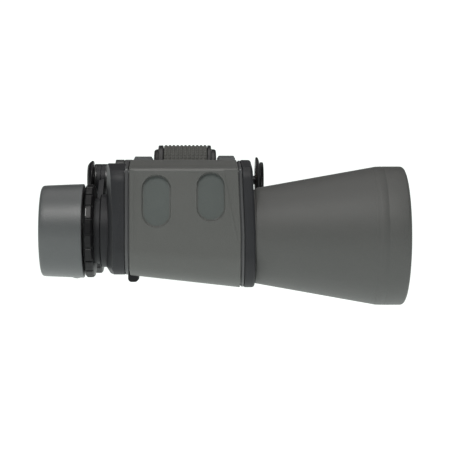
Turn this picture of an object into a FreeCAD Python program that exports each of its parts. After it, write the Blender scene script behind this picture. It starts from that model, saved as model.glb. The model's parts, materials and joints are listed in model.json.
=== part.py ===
"""Porro-prism binoculars, 50 mm objectives, with a centre hinge and a centre focus wheel.

Frame: +X towards the objectives, +Y to the user's left, +Z up. The origin is on the hinge axis, at the
mouth of the tripod socket's thread. Every length is in millimetres and lives in the sheet "dims".
"""
import FreeCAD, Part
import math
import os
import re
import Sketcher

DIMS = {
    # hinge, ocular and objective axes
    "ocular_y": 33.0, "ocular_z": -27.2, "objective_y": 60.0, "objective_z": -29.5,
    "fold_z": -14.6, "fold_y": 47.7,
    # gaps, and how far the cutting shapes reach past what they cut
    "run_gap": 0.06, "lap_gap": 0.1, "side_gap": 0.1, "end_gap": 0.3, "over": 1.0, "cutter_depth": 20.0,
    # stations along X of the prism house
    "plate_rear": -74.0, "plate_shoulder": -73.1, "rear_seam": -62.0, "armour_rear": -60.2,
    "armour_front": -7.5, "front_seam": -5.6, "front_shoulder": -0.8, "plate_front": 0.1,
    # outline of the prism house
    "wall_y": 20.5, "foot_y": 14.0, "shoulder_y": 61.0, "side_rear": 80.5, "side_front": 83.5,
    "top": 8.1, "crease": 3.1, "step": -24.0, "notch": -15.0, "bottom_rear": -48.8, "bottom_front": -54.8,
    "side_lean": 1.0, "top_round": 2.0, "shoulder_round": 7.0, "crease_round": 3.5, "belly_round": 20.0,
    "foot_round": 14.0,
    # how much of an inset reaches the shoulder, the crease, the step and the big rounds
    "shoulder_draw": 0.3, "crease_draw": 0.8, "step_draw": 0.5, "round_draw": 0.6,
    # walls and plates
    "armour_t": 2.0, "shell_t": 1.8, "seam_inset": 1.1, "plate_inset": 0.3, "plate_bevel": 0.9,
    "plate_drop": 1.4, "face_bend_y": 42.0, "face_slope": 7.7, "heel_length": 2.0, "heel_rise": 3.0,
    "pocket_floor": 7.4, "front_bevel": 0.9,
    # finger grooves
    "groove_depth": 1.5, "groove_half": 7.0, "rear_groove_x": -47.65, "front_groove_x": -21.3,
    "rear_groove_high": -7.0, "rear_groove_low": -18.3, "front_groove_high": -5.7, "front_groove_low": -15.4,
    "rear_groove_wall": 81.5, "front_groove_wall": 83.1,
    # hinge
    "axle_r": 5.0, "axle_rear": -20.0, "axle_front": 2.0, "tube_r": 6.5, "tube_bore": 4.6,
    "tube_rear": -73.8, "tube_front": -48.9, "eye_r": 10.9, "front_eye_r": 8.6,
    "rear_eye_rear": -71.3, "rear_eye_mid": -66.5, "rear_eye_front": -62.0, "front_eye_rear": -5.4,
    "front_eye_mid": -2.5, "front_eye_front": 0.4, "web_low": -9.0, "web_high": 6.5, "eye_web_high": 5.5,
    "web_end": 0.3, "web_inset": 0.6, "web_bite": 0.5, "rear_eye_bite": 6.0, "front_eye_bite": 3.0,
    "rear_lobe_rear": -61.7, "rear_lobe_front": -51.4, "rear_lobe_r": 12.6, "front_lobe_rear": -17.0,
    "front_lobe_front": -7.4, "front_lobe_r": 13.1, "lobe_chamfer": 0.8, "lobe_fall": 1.3,
    # tripod socket and its cap
    "socket_r": 2.55, "socket_depth": 12.0, "drill_tip": 1.4, "mouth_r": 3.3, "plug_r": 3.22,
    "plug_rear": 0.4, "plug_front": 1.8, "stem_r": 2.4, "cap_rear": 3.5, "cap_front": 5.6, "cap_r": 12.3,
    "cap_edge": 0.5, "cap_slope": 1.1, "cap_fall": 2.6, "knob_rear": 6.0, "knob_front": 7.7, "knob_r": 9.6,
    "knob_neck": 0.7,
    # focus wheel and spindle
    "wheel_rear": -50.7, "wheel_collar": -47.9, "wheel_lip": -20.7, "wheel_front": -17.7, "wheel_r": 18.5,
    "collar_rear_r": 15.3, "collar_r": 16.6, "nose_r": 15.8, "grip_r": 18.8, "grip_seat": 16.8,
    "grip_rear": -45.5, "grip_front": -22.4, "grip_edge": 0.4, "nut_r": 5.5, "spindle_r": 4.5,
    "spindle_rear": -82.4, "spindle_front": -26.0, "nut_front": -28.0,
    # bridge
    "hub_r": 8.55, "hub_core": 5.5, "hub_rear": -82.5, "hub_front": -74.4, "hub_edge": 0.4,
    "arm_rear": -79.9, "arm_front": -77.1, "arm_lap": -78.95, "arm_half": 5.5, "arm_eye_rear": -81.3,
    "arm_eye_front": -76.7, "arm_clear": 0.4, "hub_cap_rear": -86.2, "hub_cap_front": -83.0,
    "hub_cap_r": 10.3, "hub_cap_fall": 2.4, "hub_cap_slope": 2.3, "hub_cap_edge": 0.4, "hub_stem_r": 6.2,
    # eyepieces
    "sleeve_r": 14.9, "sleeve_bore": 13.46, "sleeve_rear": -84.4, "sleeve_front": -63.5, "flange_r": 18.6,
    "flange_front": -76.95, "collar_rear": -76.8, "arm_ring_r": 16.8, "ring_r": 23.9, "ring_rear": -84.6,
    "ring_front": -80.1, "ring_edge": 0.7, "ring_gap": 0.05, "cup_r_rear": 23.3, "cup_r": 24.1,
    "cup_rear": -107.3, "cup_front": -85.7, "cup_mouth_r": 17.4, "cup_round": 2.3, "cup_bulge": 0.7,
    "cup_edge": 0.4, "head_r": 20.5, "head_rear": -105.0, "head_front": -86.0, "head_mouth_r": 17.2,
    "head_throat_r": 12.2, "barrel_r": 13.4, "barrel_t": 1.2, "barrel_front": -66.0, "stop_r": 10.4,
    "eye_lens_r": 11.5, "eye_lens_rear": -99.8, "eye_lens_front": -94.2, "eye_lens_lip": 0.2,
    "eye_rear_curve": 60.0, "eye_front_curve": 32.0, "field_lens_r": 11.7, "field_lens_rear": -78.0,
    "field_lens_front": -73.0, "field_rear_curve": 40.0, "field_front_curve": 90.0,
    # objectives
    "neck_r": 21.0, "cone_rear_r": 23.5, "cone_front": 59.8, "cone_front_r": 34.2, "rim_r": 34.4,
    "rim_front": 74.2, "rim_lead": 0.4, "rim_soft": 1.4, "rim_lip": 1.2, "skin_t": 1.7, "tube_t": 1.8,
    "glass_r": 26.0, "cell_rear": 51.0, "cell_front": 66.0, "cell_lip": 1.4, "cell_wall": 1.3,
    "cell_mouth": 1.6, "cell_step": 64.8, "crown_edge": 55.5, "crown_front": 63.0, "flint_rear": 53.0,
    "flint_front": 59.2, "contact_curve": 90.0, "crown_curve": 110.0, "lock_rear": 60.1, "lock_front": 64.4,
    "lock_t": 0.9,
    # prisms
    "shelf_rear": -36.2, "shelf_front": -33.2, "shelf_gap": 0.1, "prism_half": 18.0, "prism_depth": 8.4,
    "prism_flat": 2.0, "clip_t": 1.0, "clip_half": 2.5, "clip_gap": 0.28, "clip_rise": 0.2, "clip_land": 0.5,
    "clip_ease": 0.08, "aperture_r": 8.2,
    # strap lugs and screws
    "lug_rear": -61.9, "lug_front": -56.8, "lug_half": 6.5, "lug_low": -52.2, "lug_slot": 1.6,
    "lug_seat": 1.2, "lug_sill": 1.2, "lug_wall": 1.4, "lug_round": 1.8,
    "screw_r": 1.25, "screw_head": 2.3, "screw_length": 18.5, "screw_sink": 0.3, "screw_brim": 0.8,
    "screw_cone": 2.0, "screw_slack": 0.02, "boss_r": 3.4, "boss_length": 4.6, "screw_inner_y": 28.5,
    "screw_middle_y": 52.5, "screw_outer_y": 73.5, "screw_foot_y": 69.8, "screw_top_z": 1.6,
    "screw_side_z": -5.9, "screw_foot_z": -38.1,
}

doc = FreeCAD.newDocument("binoculars")
dims = doc.addObject("Spreadsheet::Sheet", "dims")
for row, (alias, value) in enumerate(DIMS.items(), start=1):
    dims.set(f"A{row}", alias)
    dims.set(f"B{row}", str(value))
    dims.setAlias(f"B{row}", alias)
doc.recompute()

nodes = {}
SIDES = {"left": 1, "right": -1}


def cells(formula):
    """The formula with each alias in it prefixed by the sheet's name."""
    return re.sub(r"[a-z]\w*", lambda word: f"dims.{word[0]}" if word[0] in DIMS else word[0], formula)


def bind(thing, **formulas):
    """Binds properties to formulas; a double underscore in a name stands for a dot."""
    for name, formula in formulas.items():
        thing.setExpression(name.replace("__", "."), cells(str(formula)))


def keep(node, thing):
    """Names an object as one of the exported sub-parts."""
    thing.Label = node
    nodes[node] = thing
    return thing


def origin_plane(body, role):
    return next(item for item in body.Origin.OriginFeatures if item.Role == role)


def outline(body, role, points, rounds=()):
    """A closed sketch through points given as pairs of formulas, with a formula for each rounded corner."""
    sketch = body.newObject("Sketcher::SketchObject", "outline")
    sketch.AttachmentSupport = [(origin_plane(body, role), "")]
    sketch.MapMode = "FlatFace"
    count = len(points)
    spread = [FreeCAD.Vector(10 * i, i * i, 0) for i in range(count + 1)]
    for start, end in zip(spread, spread[1:]):
        sketch.addGeometry(Part.LineSegment(start, end))
    for side in range(count):
        sketch.addConstraint(Sketcher.Constraint("Coincident", side, 2, (side + 1) % count, 1))
    for side, pair in enumerate(points):
        for direction, formula in zip(("DistanceX", "DistanceY"), pair):
            placed = sketch.addConstraint(Sketcher.Constraint(direction, -1, 1, side, 1, 1.0))
            sketch.setExpression(f"Constraints[{placed}]", cells(str(formula)))
    doc.recompute()
    for side, formula in enumerate(rounds):
        if formula:
            sketch.fillet((side - 1) % count, 2, 0.5, True, True)
            arc = len(sketch.Geometry) - 2
            if sketch.Geometry[arc].TypeId != "Part::GeomArcOfCircle":
                arc += 1
            sized = sketch.addConstraint(Sketcher.Constraint("Radius", arc, 0.5))
            sketch.setExpression(f"Constraints[{sized}]", cells(str(formula)))
    doc.recompute()
    return sketch


def turned(name, points, y="0", z="0"):
    """A solid of revolution about a line along X, from (X, radius) pairs."""
    body = doc.addObject("PartDesign::Body", name)
    sketch = outline(body, "XY_Plane", points)
    turn = body.newObject("PartDesign::Revolution", "turn")
    turn.Profile = sketch
    turn.ReferenceAxis = (sketch, ["H_Axis"])
    turn.Angle = 360
    bind(body, Placement__Base__y=y, Placement__Base__z=z)
    return body


def lofted(name, sections):
    """A ruled loft between outlines in YZ; each section is (X station, corner points, corner radii)."""
    body = doc.addObject("PartDesign::Body", name)
    sketches = []
    for station, points, rounds in sections:
        sketch = outline(body, "YZ_Plane", points, rounds)
        bind(sketch, AttachmentOffset__Base__z=station)
        sketches.append(sketch)
    loft = body.newObject("PartDesign::AdditiveLoft", "loft")
    loft.Profile = sketches[0]
    loft.Sections = sketches[1:]
    loft.Ruled = True
    return body


def rod(name, rear, front, radius, y="0", z="0"):
    """A cylinder along X."""
    thing = doc.addObject("Part::Cylinder", name)
    thing.Placement.Rotation = FreeCAD.Rotation(FreeCAD.Vector(0, 1, 0), 90)
    bind(thing, Radius=radius, Height=f"( {front} ) - ( {rear} )", Placement__Base__x=rear,
         Placement__Base__y=y, Placement__Base__z=z)
    return thing


def block(name, rear, front, right, left, low, high):
    """A box given by its stations along X, Y and Z."""
    thing = doc.addObject("Part::Box", name)
    bind(thing, Length=f"( {front} ) - ( {rear} )", Width=f"( {left} ) - ( {right} )",
         Height=f"( {high} ) - ( {low} )", Placement__Base__x=rear, Placement__Base__y=right,
         Placement__Base__z=low)
    return thing


def ball(name, centre, radius, y, z):
    thing = doc.addObject("Part::Sphere", name)
    bind(thing, Radius=radius, Placement__Base__x=centre, Placement__Base__y=y, Placement__Base__z=z)
    return thing


def joined(name, *things):
    fused = doc.addObject("Part::MultiFuse", name)
    fused.Shapes = list(things)
    return fused


def shared(name, *things):
    common = doc.addObject("Part::MultiCommon", name)
    common.Shapes = list(things)
    return common


def less(name, base, *tools):
    cut = doc.addObject("Part::Cut", name)
    cut.Base = base
    cut.Tool = tools[0] if len(tools) == 1 else joined(f"{name}_tools", *tools)
    return cut


def mirrored(name, source):
    """The same piece on the other side of the XZ plane."""
    mirror = doc.addObject("Part::Mirroring", name)
    mirror.Source = source
    mirror.Normal = FreeCAD.Vector(0, 1, 0)
    return mirror


# ---------------------------------------------------------------- prism house

def house_section(station, inset, side, bottom, rise="0"):
    """The prism house's outline at one station, drawn in by inset; rise lifts its top."""
    inset, rise = f"( {inset} )", f"( {rise} )"
    points = [
        (f"wall_y + {inset}", f"top + {rise} - {inset}"),
        (f"shoulder_y - shoulder_draw * {inset}", f"top + {rise} - {inset}"),
        (f"{side} - {inset}", f"crease + {rise} - crease_draw * {inset}"),
        (f"{side} + side_lean - {inset}", f"{bottom} + {inset}"),
        (f"foot_y + {inset}", f"{bottom} + {inset}"),
        (f"foot_y + {inset}", f"step + step_draw * {inset}"),
        (f"wall_y + {inset}", f"notch + step_draw * {inset}"),
    ]
    rounds = ("top_round", "shoulder_round", "crease_round", f"belly_round - round_draw * {inset}",
              f"foot_round - round_draw * {inset}", None, None)
    return station, points, rounds


def house(name, inset, rear="armour_rear", front="armour_front"):
    return lofted(name, [house_section(rear, inset, "side_rear", "bottom_rear"),
                         house_section(front, inset, "side_front", "bottom_front")])


def plank(name, rear, front, inset, side, bottom, rise="0"):
    return lofted(name, [house_section(rear, inset, side, bottom, rise),
                         house_section(front, inset, side, bottom, rise)])


def stadium(name, middle, high, low, wall):
    """The cutter of one upright finger groove in the outer side, whose skin is at wall."""
    ends = []
    for end, height in (("high", high), ("low", low)):
        thing = doc.addObject("Part::Cylinder", f"{name}_{end}")
        thing.Placement.Rotation = FreeCAD.Rotation(FreeCAD.Vector(1, 0, 0), -90)
        bind(thing, Radius="groove_half", Height="cutter_depth", Placement__Base__x=middle,
             Placement__Base__y=f"{wall} - groove_depth", Placement__Base__z=height)
        ends.append(thing)
    waist = block(f"{name}_waist", f"{middle} - groove_half", f"{middle} + groove_half",
                  f"{wall} - groove_depth", f"{wall} - groove_depth + cutter_depth", low, high)
    return joined(name, waist, *ends)


def screw_places(sign):
    """Where the four screws of one rear plate stand, near the corners of the prism house: (Y, Z, sink)."""
    places = [("screw_inner_y", "screw_top_z"), ("screw_middle_y", "screw_top_z"),
              ("screw_outer_y", "screw_side_z"), ("screw_foot_y", "screw_foot_z")]
    return [(f"{sign} * ( {y} )", z, f"max(0; tan(face_slope) * ( {y} - face_bend_y ))") for y, z in places]


outer_skin = house("outer_skin", "0")
shell_form = house("shell_form", "armour_t")
shell_space = house("shell_space", "armour_t + shell_t")
rear_groove = stadium("rear_groove", "rear_groove_x", "rear_groove_high", "rear_groove_low",
                      "rear_groove_wall")
front_groove = stadium("front_groove", "front_groove_x", "front_groove_high", "front_groove_low",
                       "front_groove_wall")
lug_form = doc.addObject("PartDesign::Body", "lug_form")
lug_pad = lug_form.newObject("PartDesign::Pad", "lug_pad")
lug_pad.Profile = outline(lug_form, "XZ_Plane", [
    ("lug_rear", "lug_low"), ("lug_front", "lug_low"), ("lug_front", "bottom_rear + lug_seat"),
    ("lug_rear", "bottom_rear + lug_seat")], ("lug_round", "lug_round", None, None))
lug_pad.Midplane = True
bind(lug_pad, Length="2 * lug_half")
bind(lug_form, Placement__Base__y="objective_y")
lug_slot = block("lug_slot_form", "lug_rear - over", "lug_front + over",
                 "objective_y - lug_half + lug_wall", "objective_y + lug_half - lug_wall",
                 "lug_low + lug_sill", "lug_low + lug_sill + lug_slot")
lug_base_gap = block("lug_base_gap", "rear_seam", "lug_front", "objective_y - lug_half",
                     "objective_y + lug_half", "bottom_rear - cutter_depth", "bottom_rear + lug_seat")
bosses = [rod(f"boss_{index}", "armour_rear", "armour_rear + boss_length", "boss_r", y, z)
          for index, (y, z, _) in enumerate(screw_places(1))]
boss_holes = [rod(f"boss_hole_{index}", "armour_rear - over", "armour_rear + boss_length + over", "screw_r",
                  y, z)
              for index, (y, z, _) in enumerate(screw_places(1))]
shell = less("shell", joined("shell_with_bosses", less("shell_wall", shell_form, shell_space), *bosses),
             *boss_holes)
armour = less("armour", outer_skin, shell_form, rear_groove, front_groove, lug_base_gap)
keep("left_prism_housing", shell)
keep("right_prism_housing", mirrored("right_shell", shell))
armour_right = mirrored("armour_right", armour)

# The rear lobe belongs to the left half and is fixed on the hinge tube; the front lobe belongs to the
# right half and turns on the axle.


def lobe(name, rear, front, radius):
    return turned(name, [(rear, "0"), (rear, f"{radius} - lobe_fall"), (f"{rear} + lobe_chamfer", radius),
                         (f"{front} - lobe_chamfer", radius), (front, f"{radius} - lobe_fall"), (front, "0")])


rear_lobe = lobe("rear_lobe", "rear_lobe_rear", "rear_lobe_front", "rear_lobe_r")
rear_web = block("rear_web", "armour_rear + web_end", "rear_lobe_front - web_inset", "0",
                 "wall_y + web_bite", "web_low", "web_high")
rear_lobe_bore = rod("rear_lobe_bore", "rear_lobe_rear - over", "rear_lobe_front + over", "tube_r")
keep("left_housing_armour", less("armour_left", joined("armour_with_rear_lobe", armour, rear_lobe, rear_web),
                                 rear_lobe_bore))
front_lobe = lobe("front_lobe", "front_lobe_rear", "front_lobe_front", "front_lobe_r")
front_web = block("front_web", "front_lobe_rear + web_inset", "armour_front - web_end",
                  "- wall_y - web_bite", "0", "web_low", "web_high")
front_lobe_bore = rod("front_lobe_bore", "front_lobe_rear - over", "front_lobe_front + over",
                      "axle_r + run_gap")
keep("right_housing_armour", less("armour_right_bored",
                                  joined("armour_with_front_lobe", armour_right, front_lobe, front_web),
                                  front_lobe_bore))

# Thin metal seam strips between the armour and the two plates.
for end, rear, front, side, bottom in (("rear", "rear_seam", "armour_rear", "side_rear", "bottom_rear"),
                                       ("front", "armour_front", "front_seam", "side_front",
                                        "bottom_front")):
    strip = plank(f"{end}_strip_form", rear, front, "seam_inset", side, bottom)
    hole = plank(f"{end}_strip_hole", f"{rear} - over", f"{front} + over", "armour_t + shell_t", side, bottom)
    ring = less(f"{end}_strip", strip, hole)
    if end == "rear":
        ring = less("rear_strip_cut", ring, lug_base_gap)
    keep(f"left_{end}_seam", ring)
    keep(f"right_{end}_seam", mirrored(f"right_{end}_strip", ring))

keep("left_strap_lug", less("lug", lug_form, lug_slot))
keep("right_strap_lug", mirrored("right_lug", nodes["left_strap_lug"]))

# Rear plates: hollow covers, lower than the armour at the top, with a face that falls away outside the
# eyepiece, a bevelled heel, a guide collar for the eyepiece sleeve and half of the rear hinge eye. Front
# plates: a small bevel, the objective's seat and half of the front eye.
rear_plate_loft = lofted("rear_plate_loft", [
    house_section("plate_rear", "plate_inset + plate_bevel", "side_rear", "bottom_rear", "- plate_drop"),
    house_section("plate_shoulder", "plate_inset", "side_rear", "bottom_rear", "- plate_drop"),
    house_section("rear_seam", "plate_inset", "side_rear", "bottom_rear", "- plate_drop")])
face_cutter = doc.addObject("Part::Box", "face_cutter")
bind(face_cutter, Length="cutter_depth", Width="side_front", Height="2 * side_front",
     Placement__Base__x="plate_rear - cutter_depth * cos(face_slope)",
     Placement__Base__y="face_bend_y + cutter_depth * sin(face_slope)", Placement__Base__z="- side_front",
     Placement__Rotation__Angle="- face_slope")


def heel_cutter(name, middle, turn):
    """A big block whose one face is the bevel under the rear face; turn swings it round a point at middle."""
    lean = math.degrees(math.atan2(DIMS["heel_length"], DIMS["heel_rise"]))
    swing = FreeCAD.Rotation(FreeCAD.Vector(0, 0, 1), - turn)
    tilt = swing.multiply(FreeCAD.Rotation(FreeCAD.Vector(0, 1, 0), - lean))
    corner = tilt.multVec(FreeCAD.Vector(1, 1, 0.5) * DIMS["cutter_depth"])
    thing = doc.addObject("Part::Box", name)
    thing.Placement.Rotation = tilt
    bind(thing, Length="cutter_depth", Width="5 * cutter_depth", Height="cutter_depth",
         Placement__Base__x=f"plate_rear - {corner.x}", Placement__Base__y=f"{middle} - {corner.y}",
         Placement__Base__z=f"bottom_rear + plate_inset + heel_rise - {corner.z}")
    return thing


pocket_form = plank("pocket_form", "plate_rear + pocket_floor", "rear_seam + over", "armour_t + shell_t",
                    "side_rear", "bottom_rear", "- plate_drop")
pocket_core = rod("pocket_core", "plate_rear", "rear_seam + 2 * over", "flange_r", "ocular_y", "ocular_z")
pocket_bosses = [rod(f"pocket_boss_{index}", "plate_rear", "rear_seam + 2 * over", "boss_r", y, z)
                 for index, (y, z, _) in enumerate(screw_places(1))]
pocket = less("pocket", pocket_form, pocket_core, *pocket_bosses)
rear_plate_form = less("rear_plate_form", rear_plate_loft, face_cutter, pocket,
                       heel_cutter("inner_heel", "foot_y", 0),
                       heel_cutter("outer_heel", "face_bend_y", DIMS["face_slope"]))
front_plate_form = lofted("front_plate_form", [
    house_section("front_seam", "0", "side_front", "bottom_front"),
    house_section("front_shoulder", "0", "side_front", "bottom_front"),
    house_section("plate_front", "front_bevel", "side_front", "bottom_front")])
forms = {"left": (rear_plate_form, front_plate_form),
         "right": (mirrored("rear_plate_mirror", rear_plate_form),
                   mirrored("front_plate_mirror", front_plate_form))}
eyes = {"left": ("rear_eye_rear", "rear_eye_mid - 0.5 * lap_gap", "tube_r",
                 "front_eye_rear", "front_eye_mid - 0.5 * lap_gap", "axle_r"),
        "right": ("rear_eye_mid + 0.5 * lap_gap", "rear_eye_front", "tube_r + run_gap",
                  "front_eye_mid + 0.5 * lap_gap", "front_eye_front", "axle_r + run_gap")}


def screws(name, sign, slack="0"):
    """Four countersunk screws as one group of solids, or the holes for them."""
    group = []
    for index, (y, z, sink) in enumerate(screw_places(sign)):
        rear = "plate_rear - over" if slack != "0" else f"plate_rear + screw_sink + {sink}"
        group.append(turned(f"{name}_{index}", [
            (rear, "0"), (rear, f"screw_head + {slack}"),
            (f"plate_rear + screw_brim + {sink}", f"screw_head + {slack}"),
            (f"plate_rear + screw_cone + {sink}", f"screw_r + {slack}"),
            ("plate_rear + screw_length", f"screw_r + {slack}"), ("plate_rear + screw_length", "0")], y, z))
    return joined(name, *group)


for side, sign in SIDES.items():
    rear_form, front_form = forms[side]
    rear_a, rear_b, rear_bore, front_a, front_b, front_bore = eyes[side]
    edge = ("0", "wall_y + rear_eye_bite") if sign > 0 else ("- wall_y - rear_eye_bite", "0")
    front_edge = ("0", "wall_y + front_eye_bite") if sign > 0 else ("- wall_y - front_eye_bite", "0")
    ocular = (f"{sign} * ocular_y", "ocular_z")
    objective = (f"{sign} * objective_y", "objective_z")
    collar = rod(f"{side}_collar", "collar_rear", "rear_seam", "flange_r", *ocular)
    eye = rod(f"{side}_rear_eye", rear_a, rear_b, "eye_r")
    web = block(f"{side}_rear_eye_web", rear_a, rear_b, *edge, "web_low", "eye_web_high")
    plate = joined(f"{side}_rear_plate_body", rear_form, collar, eye, web)
    keep(f"{side}_plate_screws", screws(f"{side}_screws", sign))
    keep(f"{side}_rear_plate", less(
        f"{side}_rear_plate_bored", plate,
        rod(f"{side}_collar_bore", "collar_rear - over", "rear_seam + over", "sleeve_r + run_gap", *ocular),
        rod(f"{side}_rear_eye_bore", "rear_eye_rear - over", "rear_eye_front + over", rear_bore),
        screws(f"{side}_screw_holes", sign, "screw_slack")))
    eye = rod(f"{side}_front_eye", front_a, front_b, "front_eye_r")
    web = block(f"{side}_front_eye_web", front_a, front_b, *front_edge, "web_low", "web_high")
    plate = joined(f"{side}_front_plate_body", front_form, eye, web)
    keep(f"{side}_front_plate", less(
        f"{side}_front_plate_bored", plate,
        rod(f"{side}_objective_seat", "front_seam - over", "plate_front + over", "neck_r", *objective),
        rod(f"{side}_front_eye_bore", "front_eye_rear - over", "front_eye_front + over", front_bore)))

# ---------------------------------------------------------------- hinge, tripod socket, focus wheel
keep("hinge_axle", turned("axle", [
    ("axle_rear", "0"), ("axle_rear", "axle_r"), ("axle_front", "axle_r"), ("axle_front", "mouth_r"),
    ("0", "mouth_r"), ("0", "socket_r"), ("- socket_depth", "socket_r"),
    ("- socket_depth - drill_tip", "0")]))
keep("hinge_tube", turned("tube", [
    ("tube_rear", "tube_bore"), ("tube_rear", "tube_r"), ("tube_front", "tube_r"),
    ("tube_front", "tube_bore")]))
keep("tripod_cap", turned("cap", [
    ("plug_rear", "0"), ("plug_rear", "plug_r"), ("plug_front", "plug_r"), ("plug_front", "stem_r"),
    ("cap_rear", "stem_r"), ("cap_rear", "cap_r - cap_edge"), ("cap_rear + cap_edge", "cap_r"),
    ("cap_front - cap_slope", "cap_r"), ("cap_front", "cap_r - cap_fall"),
    ("cap_front", "knob_r - knob_neck"), ("knob_rear", "knob_r - knob_neck"), ("knob_rear", "knob_r"),
    ("knob_front - cap_edge", "knob_r"), ("knob_front", "knob_r - cap_edge"), ("knob_front", "0")]))
keep("focus_wheel_hub", turned("wheel", [
    ("wheel_rear", "tube_r + run_gap"), ("wheel_rear", "collar_rear_r"), ("wheel_collar", "collar_r"),
    ("wheel_collar", "wheel_r"), ("grip_rear", "wheel_r"), ("grip_rear", "grip_seat"),
    ("grip_front", "grip_seat"), ("grip_front", "wheel_r"), ("wheel_lip", "wheel_r"),
    ("wheel_lip", "collar_r"), ("wheel_front", "nose_r"), ("wheel_front", "axle_r + run_gap"),
    ("axle_rear - end_gap", "axle_r + run_gap"), ("axle_rear - end_gap", "nut_r"),
    ("nut_front", "nut_r"), ("nut_front", "spindle_r + run_gap"),
    ("tube_front + end_gap", "spindle_r + run_gap"), ("tube_front + end_gap", "tube_r + run_gap")]))
keep("focus_wheel_grip", turned("grip", [
    ("grip_rear + side_gap", "grip_seat"), ("grip_rear + side_gap", "grip_r - grip_edge"),
    ("grip_rear + side_gap + grip_edge", "grip_r"), ("grip_front - side_gap - grip_edge", "grip_r"),
    ("grip_front - side_gap", "grip_r - grip_edge"), ("grip_front - side_gap", "grip_seat")]))
keep("focus_spindle", turned("spindle", [
    ("spindle_rear", "0"), ("spindle_rear", "spindle_r"), ("spindle_front", "spindle_r"),
    ("spindle_front", "0")]))

# ---------------------------------------------------------------- bridge that carries both eyepieces
keep("bridge_hub", turned("hub", [
    ("hub_rear", "spindle_r"), ("hub_rear", "hub_r - hub_edge"), ("hub_rear + hub_edge", "hub_r"),
    ("arm_eye_rear - side_gap", "hub_r"), ("arm_eye_rear - side_gap", "hub_core"),
    ("arm_eye_front + side_gap", "hub_core"), ("arm_eye_front + side_gap", "hub_r"), ("hub_front", "hub_r"),
    ("hub_front", "spindle_r")]))
keep("bridge_cap", turned("bridge_screw", [
    ("hub_cap_rear", "0"), ("hub_cap_rear", "hub_cap_r - hub_cap_fall"),
    ("hub_cap_rear + hub_cap_slope", "hub_cap_r"), ("hub_cap_front", "hub_cap_r - hub_cap_edge"),
    ("hub_cap_front", "hub_stem_r"), ("hub_rear", "hub_stem_r"), ("hub_rear", "0")]))


def bridge_arm(side, sign):
    """A flat arm from the hub to one eyepiece, half-lapped with the other arm round the hub."""
    before, after = "arm_lap - 0.5 * lap_gap", "arm_lap + 0.5 * lap_gap"
    own = ("arm_eye_rear", before) if sign > 0 else (after, "arm_eye_front")
    other = (before, "arm_eye_front + over") if sign > 0 else ("arm_eye_rear - over", after)
    ocular = (f"{sign} * ocular_y", "ocular_z")
    bar = doc.addObject("Part::Box", f"{side}_arm_bar")
    tilt = FreeCAD.Vector(0, sign * DIMS["ocular_y"], DIMS["ocular_z"])
    across = FreeCAD.Vector(1, 0, 0).cross(tilt)
    across.normalize()
    bar.Placement.Rotation = FreeCAD.Rotation(FreeCAD.Vector(1, 0, 0), tilt, across, "XYZ")
    bind(bar, Length="arm_front - arm_rear", Width="sqrt(ocular_y ^ 2 + ocular_z ^ 2) - barrel_r",
         Height="2 * arm_half", Placement__Base__x="arm_rear",
         Placement__Base__y=f"- arm_half * {across.y}", Placement__Base__z=f"- arm_half * {across.z}")
    ring = rod(f"{side}_arm_ring", "ring_front", "arm_front", "arm_ring_r", *ocular)
    eye = rod(f"{side}_arm_eye", *own, "hub_r")
    whole = joined(f"{side}_arm_whole", bar, ring, eye)
    return less(f"{side}_arm", whole,
                rod(f"{side}_arm_lap", *other, "hub_r + arm_clear"),
                rod(f"{side}_arm_eye_bore", "arm_eye_rear - 2 * over", "arm_eye_front + 2 * over",
                    "hub_core + run_gap"),
                rod(f"{side}_arm_ring_bore", "ring_front - over", "arm_front + over", "sleeve_r", *ocular))


# ---------------------------------------------------------------- eyepieces, prisms and objectives

def lens(name, rear, front, radius, rear_bulge, front_bulge, y, z):
    """A biconvex lens: a disc trimmed by two balls whose surfaces pass through its poles."""
    return shared(name, rod(f"{name}_disc", rear, front, radius, y, z),
                  ball(f"{name}_rear_ball", f"{rear} + {rear_bulge}", rear_bulge, y, z),
                  ball(f"{name}_front_ball", f"{front} - {front_bulge}", front_bulge, y, z))


def prism(name, side, sign, base, aim, start, finish, profile, depth):
    """A piece drawn across the line between two optical axes, standing on the shelf's face at base."""
    body = doc.addObject("PartDesign::Body", name)
    sketch = outline(body, "XY_Plane", [(f"{aim} * ( {x} )", u) for x, u in profile])
    pad = body.newObject("PartDesign::Pad", "pad")
    pad.Profile = sketch
    pad.Midplane = True
    bind(pad, Length=f"2 * {depth}")
    across = FreeCAD.Vector(0, sign * (DIMS[finish[0]] - DIMS[start[0]]), DIMS[finish[1]] - DIMS[start[1]])
    body.Placement.Rotation = FreeCAD.Rotation(FreeCAD.Vector(1, 0, 0), across, FreeCAD.Vector(), "XYZ")
    bind(body, Placement__Base__x=base, Placement__Base__y=f"{sign} * 0.5 * ( {start[0]} + {finish[0]} )",
         Placement__Base__z=f"0.5 * ( {start[1]} + {finish[1]} )")
    return keep(f"{side}_{name}", body)


PRISM = [("0", "- prism_half"), ("0", "prism_half"), ("prism_half - prism_flat", "prism_flat"),
         ("prism_half - prism_flat", "- prism_flat")]
PEAK = "prism_half - prism_flat + clip_rise"
FLANK = "prism_half + clip_gap"
CLIP = [("0", f"{FLANK} + sqrt(2) * clip_t"), (f"{PEAK} + clip_t", "prism_flat + clip_land"),
        (f"{PEAK} + clip_t", "- prism_flat - clip_land"), ("0", f"- ( {FLANK} ) - sqrt(2) * clip_t"),
        ("0", f"- ( {FLANK} )"), (PEAK, "- prism_flat - clip_ease"), (PEAK, "prism_flat + clip_ease"),
        ("0", FLANK)]
OBJECTIVE, FOLD, OCULAR = ("objective_y", "objective_z"), ("fold_y", "fold_z"), ("ocular_y", "ocular_z")

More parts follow.
